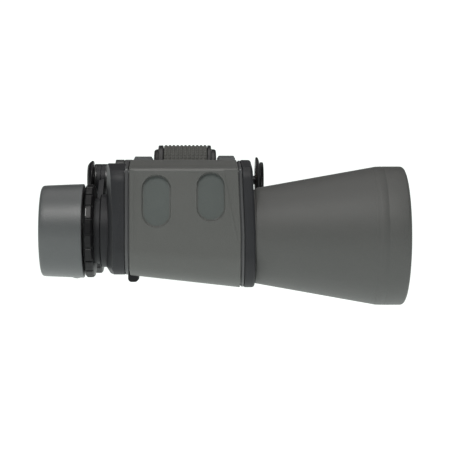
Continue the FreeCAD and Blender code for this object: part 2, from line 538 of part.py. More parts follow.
shelf_form = plank("shelf_form", "shelf_rear", "shelf_front", "armour_t + shell_t + shelf_gap", "side_rear",
                   "bottom_rear")
shelf = less("shelf", shelf_form, *[
    rod(f"shelf_hole_{index}", "shelf_rear - over", "shelf_front + over", "aperture_r", y, z)
    for index, (y, z) in enumerate((OBJECTIVE, FOLD, OCULAR))])
keep("left_prism_shelf", shelf)
keep("right_prism_shelf", mirrored("right_shelf", shelf))

for side, sign in SIDES.items():
    ocular = (f"{sign} * ocular_y", "ocular_z")
    objective = (f"{sign} * objective_y", "objective_z")
    keep(f"{side}_bridge_arm", bridge_arm(side, sign))
    keep(f"{side}_eyecup", turned(f"{side}_cup", [
        ("cup_rear", "cup_mouth_r"), ("cup_rear", "cup_r_rear - cup_round"),
        ("cup_rear + cup_bulge", "cup_r_rear - cup_bulge"), ("cup_rear + cup_round", "cup_r_rear"),
        ("cup_front - cup_edge", "cup_r"), ("cup_front", "cup_r - cup_edge"), ("cup_front", "head_r"),
        ("head_rear", "head_r"), ("head_rear", "cup_mouth_r")], *ocular))
    keep(f"{side}_ocular_barrel", turned(f"{side}_barrel", [
        ("head_rear", "head_mouth_r"), ("head_rear", "head_r"), ("head_front", "head_r"),
        ("head_front", "barrel_r"), ("barrel_front", "barrel_r"), ("barrel_front", "barrel_r - barrel_t"),
        ("field_lens_front", "barrel_r - barrel_t"), ("field_lens_front", "field_lens_r"),
        ("field_lens_rear", "field_lens_r"), ("field_lens_rear", "stop_r"), ("eye_lens_front", "stop_r"),
        ("eye_lens_front", "eye_lens_r"), ("eye_lens_rear", "eye_lens_r"),
        ("eye_lens_rear - eye_lens_lip", "head_throat_r")], *ocular))
    keep(f"{side}_eye_lens", lens(f"{side}_eye_glass", "eye_lens_rear", "eye_lens_front", "eye_lens_r",
                                  "eye_rear_curve", "eye_front_curve", *ocular))
    keep(f"{side}_field_lens", lens(f"{side}_field_glass", "field_lens_rear", "field_lens_front",
                                    "field_lens_r", "field_rear_curve", "field_front_curve", *ocular))
    turn_gap = "0" if sign > 0 else "run_gap"
    ring_name = "left_eyepiece_ring" if sign > 0 else "diopter_ring"
    keep(ring_name, turned(f"{side}_ring", [
        ("ring_rear", f"sleeve_r + {turn_gap}"), ("ring_rear", "ring_r - ring_edge"),
        ("ring_rear + ring_edge", "ring_r"), ("ring_front - ring_edge", "ring_r"),
        ("ring_front - ring_gap", "ring_r - ring_edge"), ("ring_front - ring_gap", f"sleeve_r + {turn_gap}")],
        *ocular))
    keep(f"{side}_eyepiece_sleeve", turned(f"{side}_sleeve", [
        ("sleeve_rear", "sleeve_bore"), ("sleeve_rear", "sleeve_r"), ("arm_front", "sleeve_r"),
        ("arm_front", "flange_r"), ("flange_front", "flange_r"), ("flange_front", "sleeve_r"),
        ("sleeve_front", "sleeve_r"), ("sleeve_front", "sleeve_bore")], *ocular))
    prism("rear_prism", side, sign, "shelf_rear", -1, OBJECTIVE, FOLD, PRISM, "prism_depth")
    prism("front_prism", side, sign, "shelf_front", 1, FOLD, OCULAR, PRISM, "prism_depth")
    prism("rear_prism_clip", side, sign, "shelf_rear", -1, OBJECTIVE, FOLD, CLIP, "clip_half")
    prism("front_prism_clip", side, sign, "shelf_front", 1, FOLD, OCULAR, CLIP, "clip_half")
    tube_out, tube_in = "cone_front_r - skin_t", "cone_front_r - skin_t - tube_t"
    keep(f"{side}_objective_armour", turned(f"{side}_hood", [
        ("plate_front", "cone_rear_r - skin_t"), ("plate_front", "cone_rear_r"),
        ("cone_front", "cone_front_r"), ("cone_front + rim_lead", "rim_r"), ("rim_front - rim_soft", "rim_r"),
        ("rim_front", "rim_r - rim_soft"), ("rim_front", "rim_r - skin_t - tube_t"),
        ("rim_front - rim_lip", "rim_r - skin_t - tube_t"),
        ("rim_front - rim_lip", tube_out), ("cone_front", tube_out)], *objective))
    keep(f"{side}_objective_tube", turned(f"{side}_cone", [
        ("front_seam", "neck_r - tube_t"), ("front_seam", "neck_r"), ("plate_front", "neck_r"),
        ("plate_front", "cone_rear_r - skin_t"), ("cone_front", tube_out), ("rim_front - rim_lip", tube_out),
        ("rim_front - rim_lip", tube_in), ("cone_front", tube_in),
        ("plate_front", "cone_rear_r - skin_t - tube_t")], *objective))
    keep(f"{side}_objective_cell", turned(f"{side}_cell", [
        ("cell_rear", "glass_r - cell_lip"), ("cell_rear", "glass_r + cell_wall"),
        ("cone_front + side_gap", "glass_r + cell_wall"), ("cone_front + side_gap", tube_in),
        ("cell_front", tube_in), ("cell_front", "glass_r + cell_mouth"), ("cell_step", "glass_r"),
        ("flint_rear", "glass_r"), ("flint_rear", "glass_r - cell_lip")], *objective))
    contact = ball(f"{side}_cemented_ball", "crown_edge + contact_curve", "contact_curve", *objective)
    crown_disc = rod(f"{side}_crown_disc", "crown_edge", "crown_front", "glass_r", *objective)
    keep(f"{side}_objective_crown", shared(
        f"{side}_crown", crown_disc, contact,
        ball(f"{side}_crown_ball", "crown_front - crown_curve", "crown_curve", *objective)))
    flint_disc = rod(f"{side}_flint_disc", "flint_rear", "flint_front", "glass_r", *objective)
    keep(f"{side}_objective_flint", less(f"{side}_flint", flint_disc, contact))
    keep(f"{side}_retaining_ring", turned(f"{side}_lock", [
        ("lock_rear", "glass_r - lock_t"), ("lock_rear", "glass_r"), ("lock_front", "glass_r"),
        ("lock_front", "glass_r - lock_t")], *objective))

# ---------------------------------------------------------------- checks and export
doc.recompute()
bad = [thing.Name for thing in doc.Objects if "Invalid" in thing.State or "Error" in thing.State]
assert not bad, f"objects that failed: {bad}"
os.makedirs("parts", exist_ok=True)
for node, thing in nodes.items():
    assert not thing.Shape.isNull() and thing.Shape.isValid(), f"bad shape: {node}"
    assert thing.Shape.Solids, f"no solid: {node}"
    thing.Shape.exportStep(f"parts/{node}.step")
    print(f"{node}: {len(thing.Shape.Solids)} solid(s), {thing.Shape.Volume:.0f} mm3")
print(len(nodes), "nodes")
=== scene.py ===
"""The looks of the porro-prism binoculars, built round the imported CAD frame. Lengths in the tables below are
in millimetres in the row frame, and become metres in mesh_piece."""
import json
import math

import bmesh
import bpy
import numpy as np
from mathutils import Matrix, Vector


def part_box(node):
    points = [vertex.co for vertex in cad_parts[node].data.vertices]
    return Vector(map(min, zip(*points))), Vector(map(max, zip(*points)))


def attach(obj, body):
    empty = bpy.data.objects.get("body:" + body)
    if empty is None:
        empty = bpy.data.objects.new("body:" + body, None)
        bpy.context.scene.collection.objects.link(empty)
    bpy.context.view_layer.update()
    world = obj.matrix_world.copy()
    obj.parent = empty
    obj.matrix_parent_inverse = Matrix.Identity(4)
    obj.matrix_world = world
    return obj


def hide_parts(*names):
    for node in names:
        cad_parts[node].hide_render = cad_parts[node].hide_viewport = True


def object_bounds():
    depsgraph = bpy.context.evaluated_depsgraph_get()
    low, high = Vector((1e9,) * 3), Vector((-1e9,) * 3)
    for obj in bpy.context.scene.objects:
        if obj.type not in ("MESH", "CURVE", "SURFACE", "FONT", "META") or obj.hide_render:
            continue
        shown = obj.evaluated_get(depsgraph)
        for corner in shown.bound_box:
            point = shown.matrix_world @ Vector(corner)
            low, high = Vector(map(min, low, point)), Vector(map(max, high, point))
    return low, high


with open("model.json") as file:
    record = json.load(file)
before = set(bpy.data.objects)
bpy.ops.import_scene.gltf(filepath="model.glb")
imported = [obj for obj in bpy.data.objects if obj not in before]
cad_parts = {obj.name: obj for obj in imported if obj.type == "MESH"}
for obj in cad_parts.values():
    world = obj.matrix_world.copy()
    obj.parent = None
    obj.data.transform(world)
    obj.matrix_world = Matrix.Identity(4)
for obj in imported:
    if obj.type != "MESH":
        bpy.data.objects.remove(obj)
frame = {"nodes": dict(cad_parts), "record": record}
cad_box = [list(corner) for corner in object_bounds()]
MM = 0.001
SIDES = {"left": 1, "right": -1}


# ---------------------------------------------------------------- camera, floor and lights
CAMERA_X, CAMERA_Y, CAMERA_Z = -0.0305, -0.779, -0.0242
CAMERA_YAW = math.radians(1.305)
FOCAL_MM = 115.9
AIM = (-0.015, 0, -0.02)
FLOOR_GAP = 0.019
KEY_COLOUR, TABLE_COLOUR = (1.0, 0.985, 0.965), (1.0, 1.05, 1.02, 1)
LIGHTS = (("key_light", (-0.150, -0.766, 0.758), 0.42, 7.2), ("top_light", (0.0, 0.15, 1.1), 0.9, 3.4))
SKY_BACK, PAPER_FAR, PAPER_NEAR = 1.17, 0.0, 0.95


def aimed(name, data, place, target):
    thing = bpy.data.objects.new(name, data)
    thing.location = place
    thing.rotation_euler = (Vector(target) - Vector(place)).to_track_quat("-Z", "Y").to_euler()
    bpy.context.scene.collection.objects.link(thing)
    return thing


def camera():
    data = bpy.data.cameras.new("camera")
    data.lens = FOCAL_MM
    data.sensor_width = 36
    data.clip_start = 0.01
    ahead = (CAMERA_X + math.sin(CAMERA_YAW), CAMERA_Y + math.cos(CAMERA_YAW), CAMERA_Z)
    bpy.context.scene.camera = aimed("camera", data, (CAMERA_X, CAMERA_Y, CAMERA_Z), ahead)


def studio():
    """A pale glowing table that turns up into a low backdrop behind the object, and two soft lights above.
    The table is low enough to clear the half that folds down."""
    low = cad_box[0][2] - FLOOR_GAP
    radii = [0, 0.3, 0.6, 0.9, 1.2, 1.5, 1.8, 2.1, 2.3, 2.42, 2.48, 2.5, 2.5]
    heights = [0, 0, 0, 0, 0, 0, 0, 0.01, 0.06, 0.16, 0.3, 0.45, 0.65]
    steps = 96
    verts = []
    for radius, height in zip(radii, heights):
        for k in range(steps):
            turn = math.tau * k / steps
            rise = min(1.0, max(0.0, 0.5 + 1.2 * math.sin(turn)))
            verts.append((radius * math.cos(turn), radius * math.sin(turn), low + height * rise))
    faces = [(i * steps + k, i * steps + (k + 1) % steps, (i + 1) * steps + (k + 1) % steps,
              (i + 1) * steps + k) for i in range(len(radii) - 1) for k in range(steps)]
    mesh = bpy.data.meshes.new("backdrop")
    mesh.from_pydata(verts, [], faces)
    mesh.polygons.foreach_set("use_smooth", [True] * len(mesh.polygons))
    floor = bpy.data.objects.new("backdrop", mesh)
    bpy.context.scene.collection.objects.link(floor)
    mesh.materials.append(paper())
    for name, place, size, watts in LIGHTS:
        data = bpy.data.lights.new(name, "AREA")
        data.shape = "SQUARE"
        data.size = size
        data.energy = watts
        data.color = KEY_COLOUR
        aimed(name, data, place, AIM)
    sky()
    bpy.context.scene.view_settings.view_transform = "Standard"


def sky():
    """Dark overhead and on the camera's side, and a bright low band all along the back."""
    world = bpy.data.worlds.new("world")
    bpy.context.scene.world = world
    world.use_nodes = True
    tree = world.node_tree
    link = tree.links.new
    coords = tree.nodes.new("ShaderNodeTexCoord")
    axes = tree.nodes.new("ShaderNodeSeparateXYZ")
    link(coords.outputs["Generated"], axes.inputs["Vector"])
    band = None
    for axis, start, end, high in (("Z", 0.4, 0.2, 1.0), ("Y", -0.1, 0.5, SKY_BACK)):
        ramp = tree.nodes.new("ShaderNodeMapRange")
        ramp.interpolation_type = "SMOOTHSTEP"
        ramp.inputs["From Min"].default_value = start
        ramp.inputs["From Max"].default_value = end
        ramp.inputs["To Max"].default_value = high
        link(axes.outputs[axis], ramp.inputs["Value"])
        if band is None:
            band = ramp.outputs["Result"]
            continue
        both = tree.nodes.new("ShaderNodeMath")
        both.operation = "MULTIPLY"
        link(band, both.inputs[0])
        link(ramp.outputs["Result"], both.inputs[1])
        band = both.outputs["Value"]
    link(band, tree.nodes["Background"].inputs["Strength"])
    tree.nodes["Background"].inputs["Color"].default_value = (1, 1, 1, 1)


# ---------------------------------------------------------------- materials
def node(tree, kind, **inputs):
    made = tree.nodes.new(kind)
    for key, value in inputs.items():
        made.inputs[key.replace("_", " ")].default_value = value
    return made


def paper():
    """Backdrop paper, bright round and behind the object and dark far out on the camera's side."""
    made = bpy.data.materials.new("backdrop_paper")
    made.use_nodes = True
    tree = made.node_tree
    link = tree.links.new
    shader = tree.nodes["Principled BSDF"]
    shader.inputs["Roughness"].default_value = 0.9
    grain = node(tree, "ShaderNodeTexNoise", Scale=40.0, Detail=4.0)
    ramp = tree.nodes.new("ShaderNodeValToRGB")
    ramp.color_ramp.elements[0].color = (0.28, 0.28, 0.28, 1)
    ramp.color_ramp.elements[1].color = (0.32, 0.32, 0.32, 1)
    coords = tree.nodes.new("ShaderNodeTexCoord")
    link(coords.outputs["Object"], grain.inputs["Vector"])
    link(grain.outputs["Fac"], ramp.inputs["Fac"])
    link(ramp.outputs["Color"], shader.inputs["Base Color"])
    axes = tree.nodes.new("ShaderNodeSeparateXYZ")
    link(coords.outputs["Object"], axes.inputs["Vector"])
    fade = tree.nodes.new("ShaderNodeMapRange")
    fade.interpolation_type = "SMOOTHSTEP"
    fade.inputs["From Min"].default_value = -0.62
    fade.inputs["From Max"].default_value = -0.5
    fade.inputs["To Min"].default_value = PAPER_FAR
    fade.inputs["To Max"].default_value = PAPER_NEAR
    link(axes.outputs["Y"], fade.inputs["Value"])
    shader.inputs["Emission Color"].default_value = TABLE_COLOUR
    link(fade.outputs["Result"], shader.inputs["Emission Strength"])
    return made


def finish(name, colour, roughness, metallic=0.0, mottle=0.12, patch=45.0, grain=2600.0, depth=0.00004,
           rough_span=0.1, worn=0.0, sheen=0.0, stretch=(1, 1, 1), floor=None, specular=0.5):
    """A surface: base colour with slow patches, a fine grain in bump and roughness, and paler worn edges.
    Where the mesh attribute "floor" is 1, the colour is multiplied by floor: painted shade with a bluer tone."""
    made = bpy.data.materials.new(name)
    made.use_nodes = True
    tree = made.node_tree
    link = tree.links.new
    shader = tree.nodes["Principled BSDF"]
    shader.inputs["Metallic"].default_value = metallic
    shader.inputs["Specular IOR Level"].default_value = specular
    shader.inputs["Sheen Weight"].default_value = sheen
    shader.inputs["Sheen Roughness"].default_value = 0.5
    coords = tree.nodes.new("ShaderNodeTexCoord")
    mapping = node(tree, "ShaderNodeMapping")
    mapping.inputs["Scale"].default_value = stretch
    link(coords.outputs["Object"], mapping.inputs["Vector"])
    patches = node(tree, "ShaderNodeTexNoise", Scale=patch, Detail=5.0, Roughness=0.6)
    fine = node(tree, "ShaderNodeTexNoise", Scale=grain, Detail=2.0, Roughness=0.5)
    pits = node(tree, "ShaderNodeTexVoronoi", Scale=grain * 0.55)
    for texture in (patches, fine, pits):
        link(mapping.outputs["Vector"], texture.inputs["Vector"])
    tone = tree.nodes.new("ShaderNodeValToRGB")
    for element, place, gain in zip(tone.color_ramp.elements, (0.3, 0.7), (1 - mottle, 1 + mottle)):
        element.position = place
        element.color = [min(1.0, channel * gain) for channel in colour] + [1]
    link(patches.outputs["Fac"], tone.inputs["Fac"])
    speck = tree.nodes.new("ShaderNodeMix")
    speck.data_type = "RGBA"
    speck.blend_type = "MULTIPLY"
    speck.inputs["Factor"].default_value = 0.35
    dots = tree.nodes.new("ShaderNodeValToRGB")
    dots.color_ramp.elements[0].position, dots.color_ramp.elements[1].position = 0.35, 0.65
    dots.color_ramp.elements[0].color = (0.72, 0.72, 0.72, 1)
    link(fine.outputs["Fac"], dots.inputs["Fac"])
    link(tone.outputs["Color"], speck.inputs["A"])
    link(dots.outputs["Color"], speck.inputs["B"])
    top = speck.outputs["Result"]
    if worn:
        shape = tree.nodes.new("ShaderNodeNewGeometry")
        edge = tree.nodes.new("ShaderNodeMapRange")
        edge.inputs["From Min"].default_value = 0.52
        edge.inputs["From Max"].default_value = 0.62
        edge.inputs["To Max"].default_value = worn
        link(shape.outputs["Pointiness"], edge.inputs["Value"])
        lift = tree.nodes.new("ShaderNodeMix")
        lift.data_type = "RGBA"
        lift.inputs["B"].default_value = [min(1.0, channel * 2.2 + 0.02) for channel in colour] + [1]
        link(edge.outputs["Result"], lift.inputs["Factor"])
        link(top, lift.inputs["A"])
        top = lift.outputs["Result"]
    # Painted shade: the floor tint darkens the grooves' floors, more in red than in blue, so they also turn
    # bluer.
    if floor:
        sunk = tree.nodes.new("ShaderNodeAttribute")
        sunk.attribute_name = "floor"
        tinted = tree.nodes.new("ShaderNodeMix")
        tinted.data_type = "RGBA"
        tinted.blend_type = "MULTIPLY"
        tinted.inputs["B"].default_value = list(floor) + [1]
        link(sunk.outputs["Fac"], tinted.inputs["Factor"])
        link(top, tinted.inputs["A"])
        top = tinted.outputs["Result"]
    link(top, shader.inputs["Base Color"])
    rough = tree.nodes.new("ShaderNodeMapRange")
    rough.inputs["To Min"].default_value = max(0.03, roughness - rough_span)
    rough.inputs["To Max"].default_value = min(1.0, roughness + rough_span)
    link(patches.outputs["Fac"], rough.inputs["Value"])
    link(rough.outputs["Result"], shader.inputs["Roughness"])
    both = tree.nodes.new("ShaderNodeMath")
    both.operation = "ADD"
    link(fine.outputs["Fac"], both.inputs[0])
    link(pits.outputs["Distance"], both.inputs[1])
    bump = tree.nodes.new("ShaderNodeBump")
    bump.inputs["Strength"].default_value = 1.0
    bump.inputs["Distance"].default_value = depth
    link(both.outputs["Value"], bump.inputs["Height"])
    link(bump.outputs["Normal"], shader.inputs["Normal"])
    return made


def optical(name, tint, film, strength):
    """Polished glass with an anti-reflection coating that tints what it reflects."""
    made = bpy.data.materials.new(name)
    made.use_nodes = True
    tree = made.node_tree
    link = tree.links.new
    shader = tree.nodes["Principled BSDF"]
    shader.inputs["Roughness"].default_value = 0.02
    shader.inputs["IOR"].default_value = 1.52
    shader.inputs["Transmission Weight"].default_value = 1 - strength
    shader.inputs["Coat Weight"].default_value = 0.6
    shader.inputs["Coat Roughness"].default_value = 0.02
    shader.inputs["Specular Tint"].default_value = list(film) + [1]
    coords = tree.nodes.new("ShaderNodeTexCoord")
    haze = node(tree, "ShaderNodeTexNoise", Scale=18.0, Detail=3.0)
    link(coords.outputs["Object"], haze.inputs["Vector"])
    ramp = tree.nodes.new("ShaderNodeValToRGB")
    ramp.color_ramp.elements[0].color = list(tint) + [1]
    ramp.color_ramp.elements[1].color = [0.6 * t + 0.4 * f for t, f in zip(tint, film)] + [1]
    link(haze.outputs["Fac"], ramp.inputs["Fac"])
    link(ramp.outputs["Color"], shader.inputs["Base Color"])
    return made


RUBBER = dict(mottle=0.05, patch=30.0, grain=3400.0, depth=0.00004, rough_span=0.06, worn=0.12, sheen=0.05)
PAINT = dict(mottle=0.1, patch=60.0, grain=2200.0, depth=0.00002, rough_span=0.07)
BLACK = dict(PAINT, worn=0.35)
materials = {
    # The armour's groove floors are multiplied darker and bluer: painted shade in the recesses, with a bluer
    # tone.
    "armour_rubber": finish("armour_rubber", (0.098, 0.101, 0.096), 0.52, floor=(0.86, 0.96, 0.97), **RUBBER),
    "lobe_rubber": finish("lobe_rubber", (0.092, 0.099, 0.103), 0.55, **RUBBER),
    "objective_rubber": finish("objective_rubber", (0.083, 0.085, 0.082), 0.58, **RUBBER),
    "eyecup_rubber": finish("eyecup_rubber", (0.098, 0.105, 0.107), 0.4, **RUBBER),
    "grip_rubber": finish("grip_rubber", (0.085, 0.087, 0.080), 0.6, **RUBBER),
    "black_paint": finish("black_paint", (0.020, 0.021, 0.024), 0.55, specular=0.35, **PAINT),
    "black_plastic": finish("black_plastic", (0.010, 0.010, 0.011), 0.4, specular=0.22, **BLACK),
    "gloss_black": finish("gloss_black", (0.024, 0.024, 0.025), 0.38, **BLACK),
    "ocular_black": finish("ocular_black", (0.012, 0.012, 0.013), 0.55, grain=1600.0, mottle=0.2),
    "wheel_metal": finish("wheel_metal", (0.012, 0.012, 0.013), 0.3, grain=1600.0, mottle=0.2),
    "grey_plastic": finish("grey_plastic", (0.060, 0.062, 0.062), 0.4, **BLACK),
    "dull_black": finish("dull_black", (0.022, 0.023, 0.023), 0.35, **BLACK),
    "housing_metal": finish("housing_metal", (0.10, 0.10, 0.105), 0.45, metallic=0.6, grain=1800.0),
    "inner_aluminium": finish("inner_aluminium", (0.45, 0.45, 0.46), 0.4, metallic=1.0, grain=1500.0),
    "seam_metal": finish("seam_metal", (0.085, 0.087, 0.09), 0.4, metallic=0.2, stretch=(1, 0.05, 0.05)),
    "spring_steel": finish("spring_steel", (0.5, 0.5, 0.5), 0.3, metallic=1.0, stretch=(0.1, 1, 1)),
    "screw_steel": finish("screw_steel", (0.06, 0.06, 0.065), 0.3, metallic=0.8, grain=1500.0),
    "axle_steel": finish("axle_steel", (0.4, 0.4, 0.41), 0.25, metallic=1.0, stretch=(1, 0.1, 0.1)),
    "axle_brass": finish("axle_brass", (0.5, 0.38, 0.17), 0.3, metallic=1.0, stretch=(1, 0.1, 0.1)),
    "inner_black": finish("inner_black", (0.012, 0.012, 0.013), 0.6, grain=1600.0, mottle=0.2),
    # Pale grey of the painted highlight dash on the diopter ring's pad edge.
    "painted_highlight_grey": finish("painted_highlight_grey", (0.3, 0.3, 0.3), 0.5, grain=1500.0, mottle=0.06),
    "glass": optical("glass", (0.92, 0.96, 0.95), (0.8, 0.9, 0.85), 0.04),
    "coated_glass": optical("coated_glass", (0.80, 0.86, 0.90), (0.45, 0.35, 0.85), 0.05),
}


# ---------------------------------------------------------------- mesh tools
def mesh_piece(name, verts, faces, body, material, replaces=(), slot=None, sharp=40.0):
    """A closed mesh from points in millimetres, smooth but for its sharp edges, riding on a body."""
    mesh = bpy.data.meshes.new(name)
    mesh.from_pydata((np.asarray(verts, float) * MM).tolist(), [], faces)
    work = bmesh.new()
    work.from_mesh(mesh)
    bmesh.ops.remove_doubles(work, verts=work.verts, dist=2e-6)
    bmesh.ops.dissolve_degenerate(work, edges=work.edges, dist=1e-6)
    bmesh.ops.recalc_face_normals(work, faces=work.faces)
    work.to_mesh(mesh)
    work.free()
    piece = bpy.data.objects.new(name, mesh)
    bpy.context.scene.collection.objects.link(piece)
    mesh.materials.append(materials[material])
    shade(mesh, sharp)
    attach(piece, body)
    if replaces:
        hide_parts(*replaces)
    return piece


def shade(mesh, sharp):
    mesh.polygons.foreach_set("use_smooth", [True] * len(mesh.polygons))
    mesh.set_sharp_from_angle(angle=math.radians(sharp))


def rounded(corners, steps=5):
    """A closed outline through (a, b) or (a, b, radius) corners, with arcs of that radius."""
    points = []
    count = len(corners)
    for index, corner in enumerate(corners):
        here = np.array(corner[:2], float)
        radius = corner[2] if len(corner) > 2 else 0
        if not radius:
            points.append(here)
            continue
        back = np.array(corners[index - 1][:2], float) - here
        ahead = np.array(corners[(index + 1) % count][:2], float) - here
        spans = np.linalg.norm(back), np.linalg.norm(ahead)
        back, ahead = back / spans[0], ahead / spans[1]
        turn = math.pi - math.acos(max(-1.0, min(1.0, float(back @ ahead))))
        if turn < 0.01:
            points.append(here)
            continue
        reach = min(radius * math.tan(turn / 2), 0.49 * spans[0], 0.49 * spans[1])
        radius = reach / math.tan(turn / 2)
        middle = back + ahead
        centre = here + middle / np.linalg.norm(middle) * math.hypot(radius, reach)
        first = here + back * reach - centre
        way = 1 if np.cross(first, here + ahead * reach - centre) > 0 else -1
        for step in range(steps + 1):
            angle = way * turn * step / steps
            cos, sin = math.cos(angle), math.sin(angle)
            points.append(centre + (first[0] * cos - first[1] * sin, first[0] * sin + first[1] * cos))
    return np.array(points)


def ring_faces(around, along, closed=True):
    """Quads of a grid of rings: along rings of around points; closed joins the last ring to the first."""
    faces = []
    for i in range(along if closed else along - 1):
        j = (i + 1) % along
        for k in range(around):
            n = (k + 1) % around
            faces.append((i * around + k, i * around + n, j * around + n, j * around + k))
    return faces


def centre_of(cad_node):
    low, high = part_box(cad_node)
    return (low.y + high.y) / 2 / MM, (low.z + high.z) / 2 / MM


def lathe(name, corners, centre, body, material, steps=144, swell=None, **more):
    """Turns a closed outline of (X, radius) corners about a line along X; swell changes the radius."""
    profile = rounded(corners, more.pop("arc", 5))
    turn = np.linspace(0, math.tau, steps, endpoint=False)
    rings = []
    for x, radius in profile:
        radii = np.full(steps, radius)
        if swell is not None and radius > 0:
            radii = radii + swell(x, radius, turn)
        rings.append(np.stack([np.full(steps, x), centre[0] + radii * np.sin(turn),
                               centre[1] + radii * np.cos(turn)], axis=1))
    return mesh_piece(name, np.concatenate(rings), ring_faces(steps, len(profile)), body, material, **more)


def smooth(value):
    value = np.clip(value, 0, 1)
    return value * value * (3 - 2 * value)


# ---------------------------------------------------------------- prism house
WALL_Y, FOOT_Y, SHOULDER_Y, SIDE, LEAN, FOOT_LEAN = 20.5, 14.0, 61.0, (80.5, 83.5), 1.2, -0.4
TOP, CREASE, WAIST, STEP_Z, NOTCH_Z, BOTTOM = 8.1, 3.1, -23.0, -24.0, -15.0, (-48.8, -54.8)
PLATE_REAR, REAR_SEAM, ARMOUR_REAR = -74.0, -63.1, -60.8
ARMOUR_FRONT, FRONT_SEAM, PLATE_FRONT = -7.0, -5.0, 0.1
RAKE, RAKE_LOW, RAKE_HIGH, RAKE_START = 1.5, -28.0, 8.0, -25.0
ARMOUR_T, PLATE_INSET, PLATE_DROP, HEEL_LENGTH, HEEL_RISE = 2.0, 0.3, 1.4, 2.0, 3.0
FACE_BEND_Y, FACE_SLOPE, FACE_SOFT, FACE_REACH = 42.0, math.tan(math.radians(7.7)), 2.0, 6.5
TWIST, TWIST_LOW, TWIST_SPAN = 0.22, -28.0, 32.0
ROUNDS = (2.0, 7.0, 1.2, 180.0, 20.0, 14.0, 3.0, 3.0)
PLATE_ROUNDS = (2.0, 7.0, 7.0, 180.0, 20.0, 14.0, 3.0, 3.0)
SHRINKS = (0, 0, 0, 0, 0.6, 0.6, 0, 0)
DIVISIONS = (22, 20, 84, 20, 40, 16, 10, 14)
ARC_STEPS = (6, 10, 12, 30, 26, 20, 6, 6)


def house_outline(share, inset, rise=0.0, plate=False):
    """The house's outline in (|Y|, Z) at a share of the way from rear to front, drawn in by inset.
    A plate has a softer shoulder than the armour."""
    side = SIDE[0] + (SIDE[1] - SIDE[0]) * share
    bottom = BOTTOM[0] + (BOTTOM[1] - BOTTOM[0]) * share
    corners = [(WALL_Y + inset, TOP + rise - inset), (SHOULDER_Y - 0.3 * inset, TOP + rise - inset),
               (side - inset, CREASE + rise - 0.8 * inset), (side + LEAN - inset, WAIST),
               (side + FOOT_LEAN - inset, bottom + inset), (FOOT_Y + inset, bottom + inset),
               (FOOT_Y + inset, STEP_Z + 0.5 * inset), (WALL_Y + inset, NOTCH_Z + 0.5 * inset)]
    points = []
    arcs = []
    for index, corner in enumerate(corners):
        radius = max(0.4, (PLATE_ROUNDS if plate else ROUNDS)[index] - SHRINKS[index] * inset)
        trio = [corners[index - 1], corner + (radius,), corners[(index + 1) % len(corners)]]
        arcs.append(rounded(trio, ARC_STEPS[index])[1:-1])
    for index, arc in enumerate(arcs):
        points.extend(arc)
        after = arcs[(index + 1) % len(arcs)][0]
        for step in range(1, DIVISIONS[index]):
            points.append(arc[-1] + (after - arc[-1]) * step / DIVISIONS[index])
    return np.array(points)


def raked(xs, zs):
    """The front end leans back towards the top of the house."""
    along = np.clip((xs - RAKE_START) / (ARMOUR_FRONT - RAKE_START), 0, 1)
    return xs - RAKE * along * np.clip((zs - RAKE_LOW) / (RAKE_HIGH - RAKE_LOW), 0, 1)


def house_rings(sign, profile, rear, front, rise=0.0, dent=None, plate=False):
    """Rings of points for a profile of (X, inset); dent pushes the skin inward. Only the armour tapers."""
    rings = []
    for x, inset in profile:
        share = min(1, max(0, (x - rear) / (front - rear)))
        if front < ARMOUR_REAR + 1:
            share = 0.0
        if rear > ARMOUR_FRONT - 1:
            share = 1.0
        flat = house_outline(share, inset, rise, plate)
        xs = np.full(len(flat), x)
        if dent is not None and inset < 0.01:
            tangent = np.roll(flat, -1, 0) - np.roll(flat, 1, 0)
            normal = np.stack([-tangent[:, 1], tangent[:, 0]], 1)
            normal /= np.linalg.norm(normal, axis=1)[:, None]
            flat = flat - normal * dent(xs, flat)[:, None]
        rings.append(np.stack([raked(xs, flat[:, 1]), sign * flat[:, 0], flat[:, 1]], 1))
    return rings


GROOVES = ((-47.65, -7.0, -18.3), (-21.3, -5.7, -15.4))
GROOVE_HALF, GROOVE_HIGH, GROOVE_LOW, GROOVE_EDGE = 7.0, 1.9, 0.9, 0.3
GROOVE_FALL = 25.0
PANEL_REAR, PANEL_TOP, PANEL_DEPTH, PANEL_EDGE, PANEL_BEAD = -58.6, 2.2, 0.1, 0.4, 0.14
PANEL_FRONT, PANEL_SLANT, PANEL_LOW, PANEL_FADE = -13.9, -4.8 / 28, -38.0, 8.0
OUTER_Y, OUTER_SPAN, FLOOR_Y, FLOOR_EDGE = 74.0, 3.0, 70.0, 0.5


def groove_reach(xs, zs):
    """How far a point of the outer side is inside one of the two upright finger grooves."""
    reach = np.full(len(xs), -99.0)
    for middle, high, low in GROOVES:
        reach = np.maximum(reach, GROOVE_HALF - np.hypot(xs - middle, zs - np.clip(zs, low, high)))
    return reach


def armour_dent(xs, flat):
    """How deep the armour's outer side is pressed in: the border and bead of a panel, and the grooves."""
    outer = smooth((flat[:, 0] - OUTER_Y) / OUTER_SPAN)
    slanted = PANEL_FRONT + PANEL_SLANT * np.minimum(flat[:, 1], 0)
    inside = np.minimum(np.minimum(xs - PANEL_REAR, slanted - xs), PANEL_TOP - flat[:, 1])
    fade = smooth((flat[:, 1] - PANEL_LOW) / PANEL_FADE)
    bead = np.exp(-((inside - PANEL_EDGE) / PANEL_EDGE) ** 2)
    depth = fade * (PANEL_DEPTH * (1 - smooth(inside / PANEL_EDGE)) - PANEL_BEAD * bead)
    share = np.clip(-flat[:, 1] / GROOVE_FALL, 0, 1)
    deep = GROOVE_HIGH + (GROOVE_LOW - GROOVE_HIGH) * share
    depth = depth + deep * smooth(groove_reach(xs, flat[:, 1]) / GROOVE_EDGE)
    return outer * depth


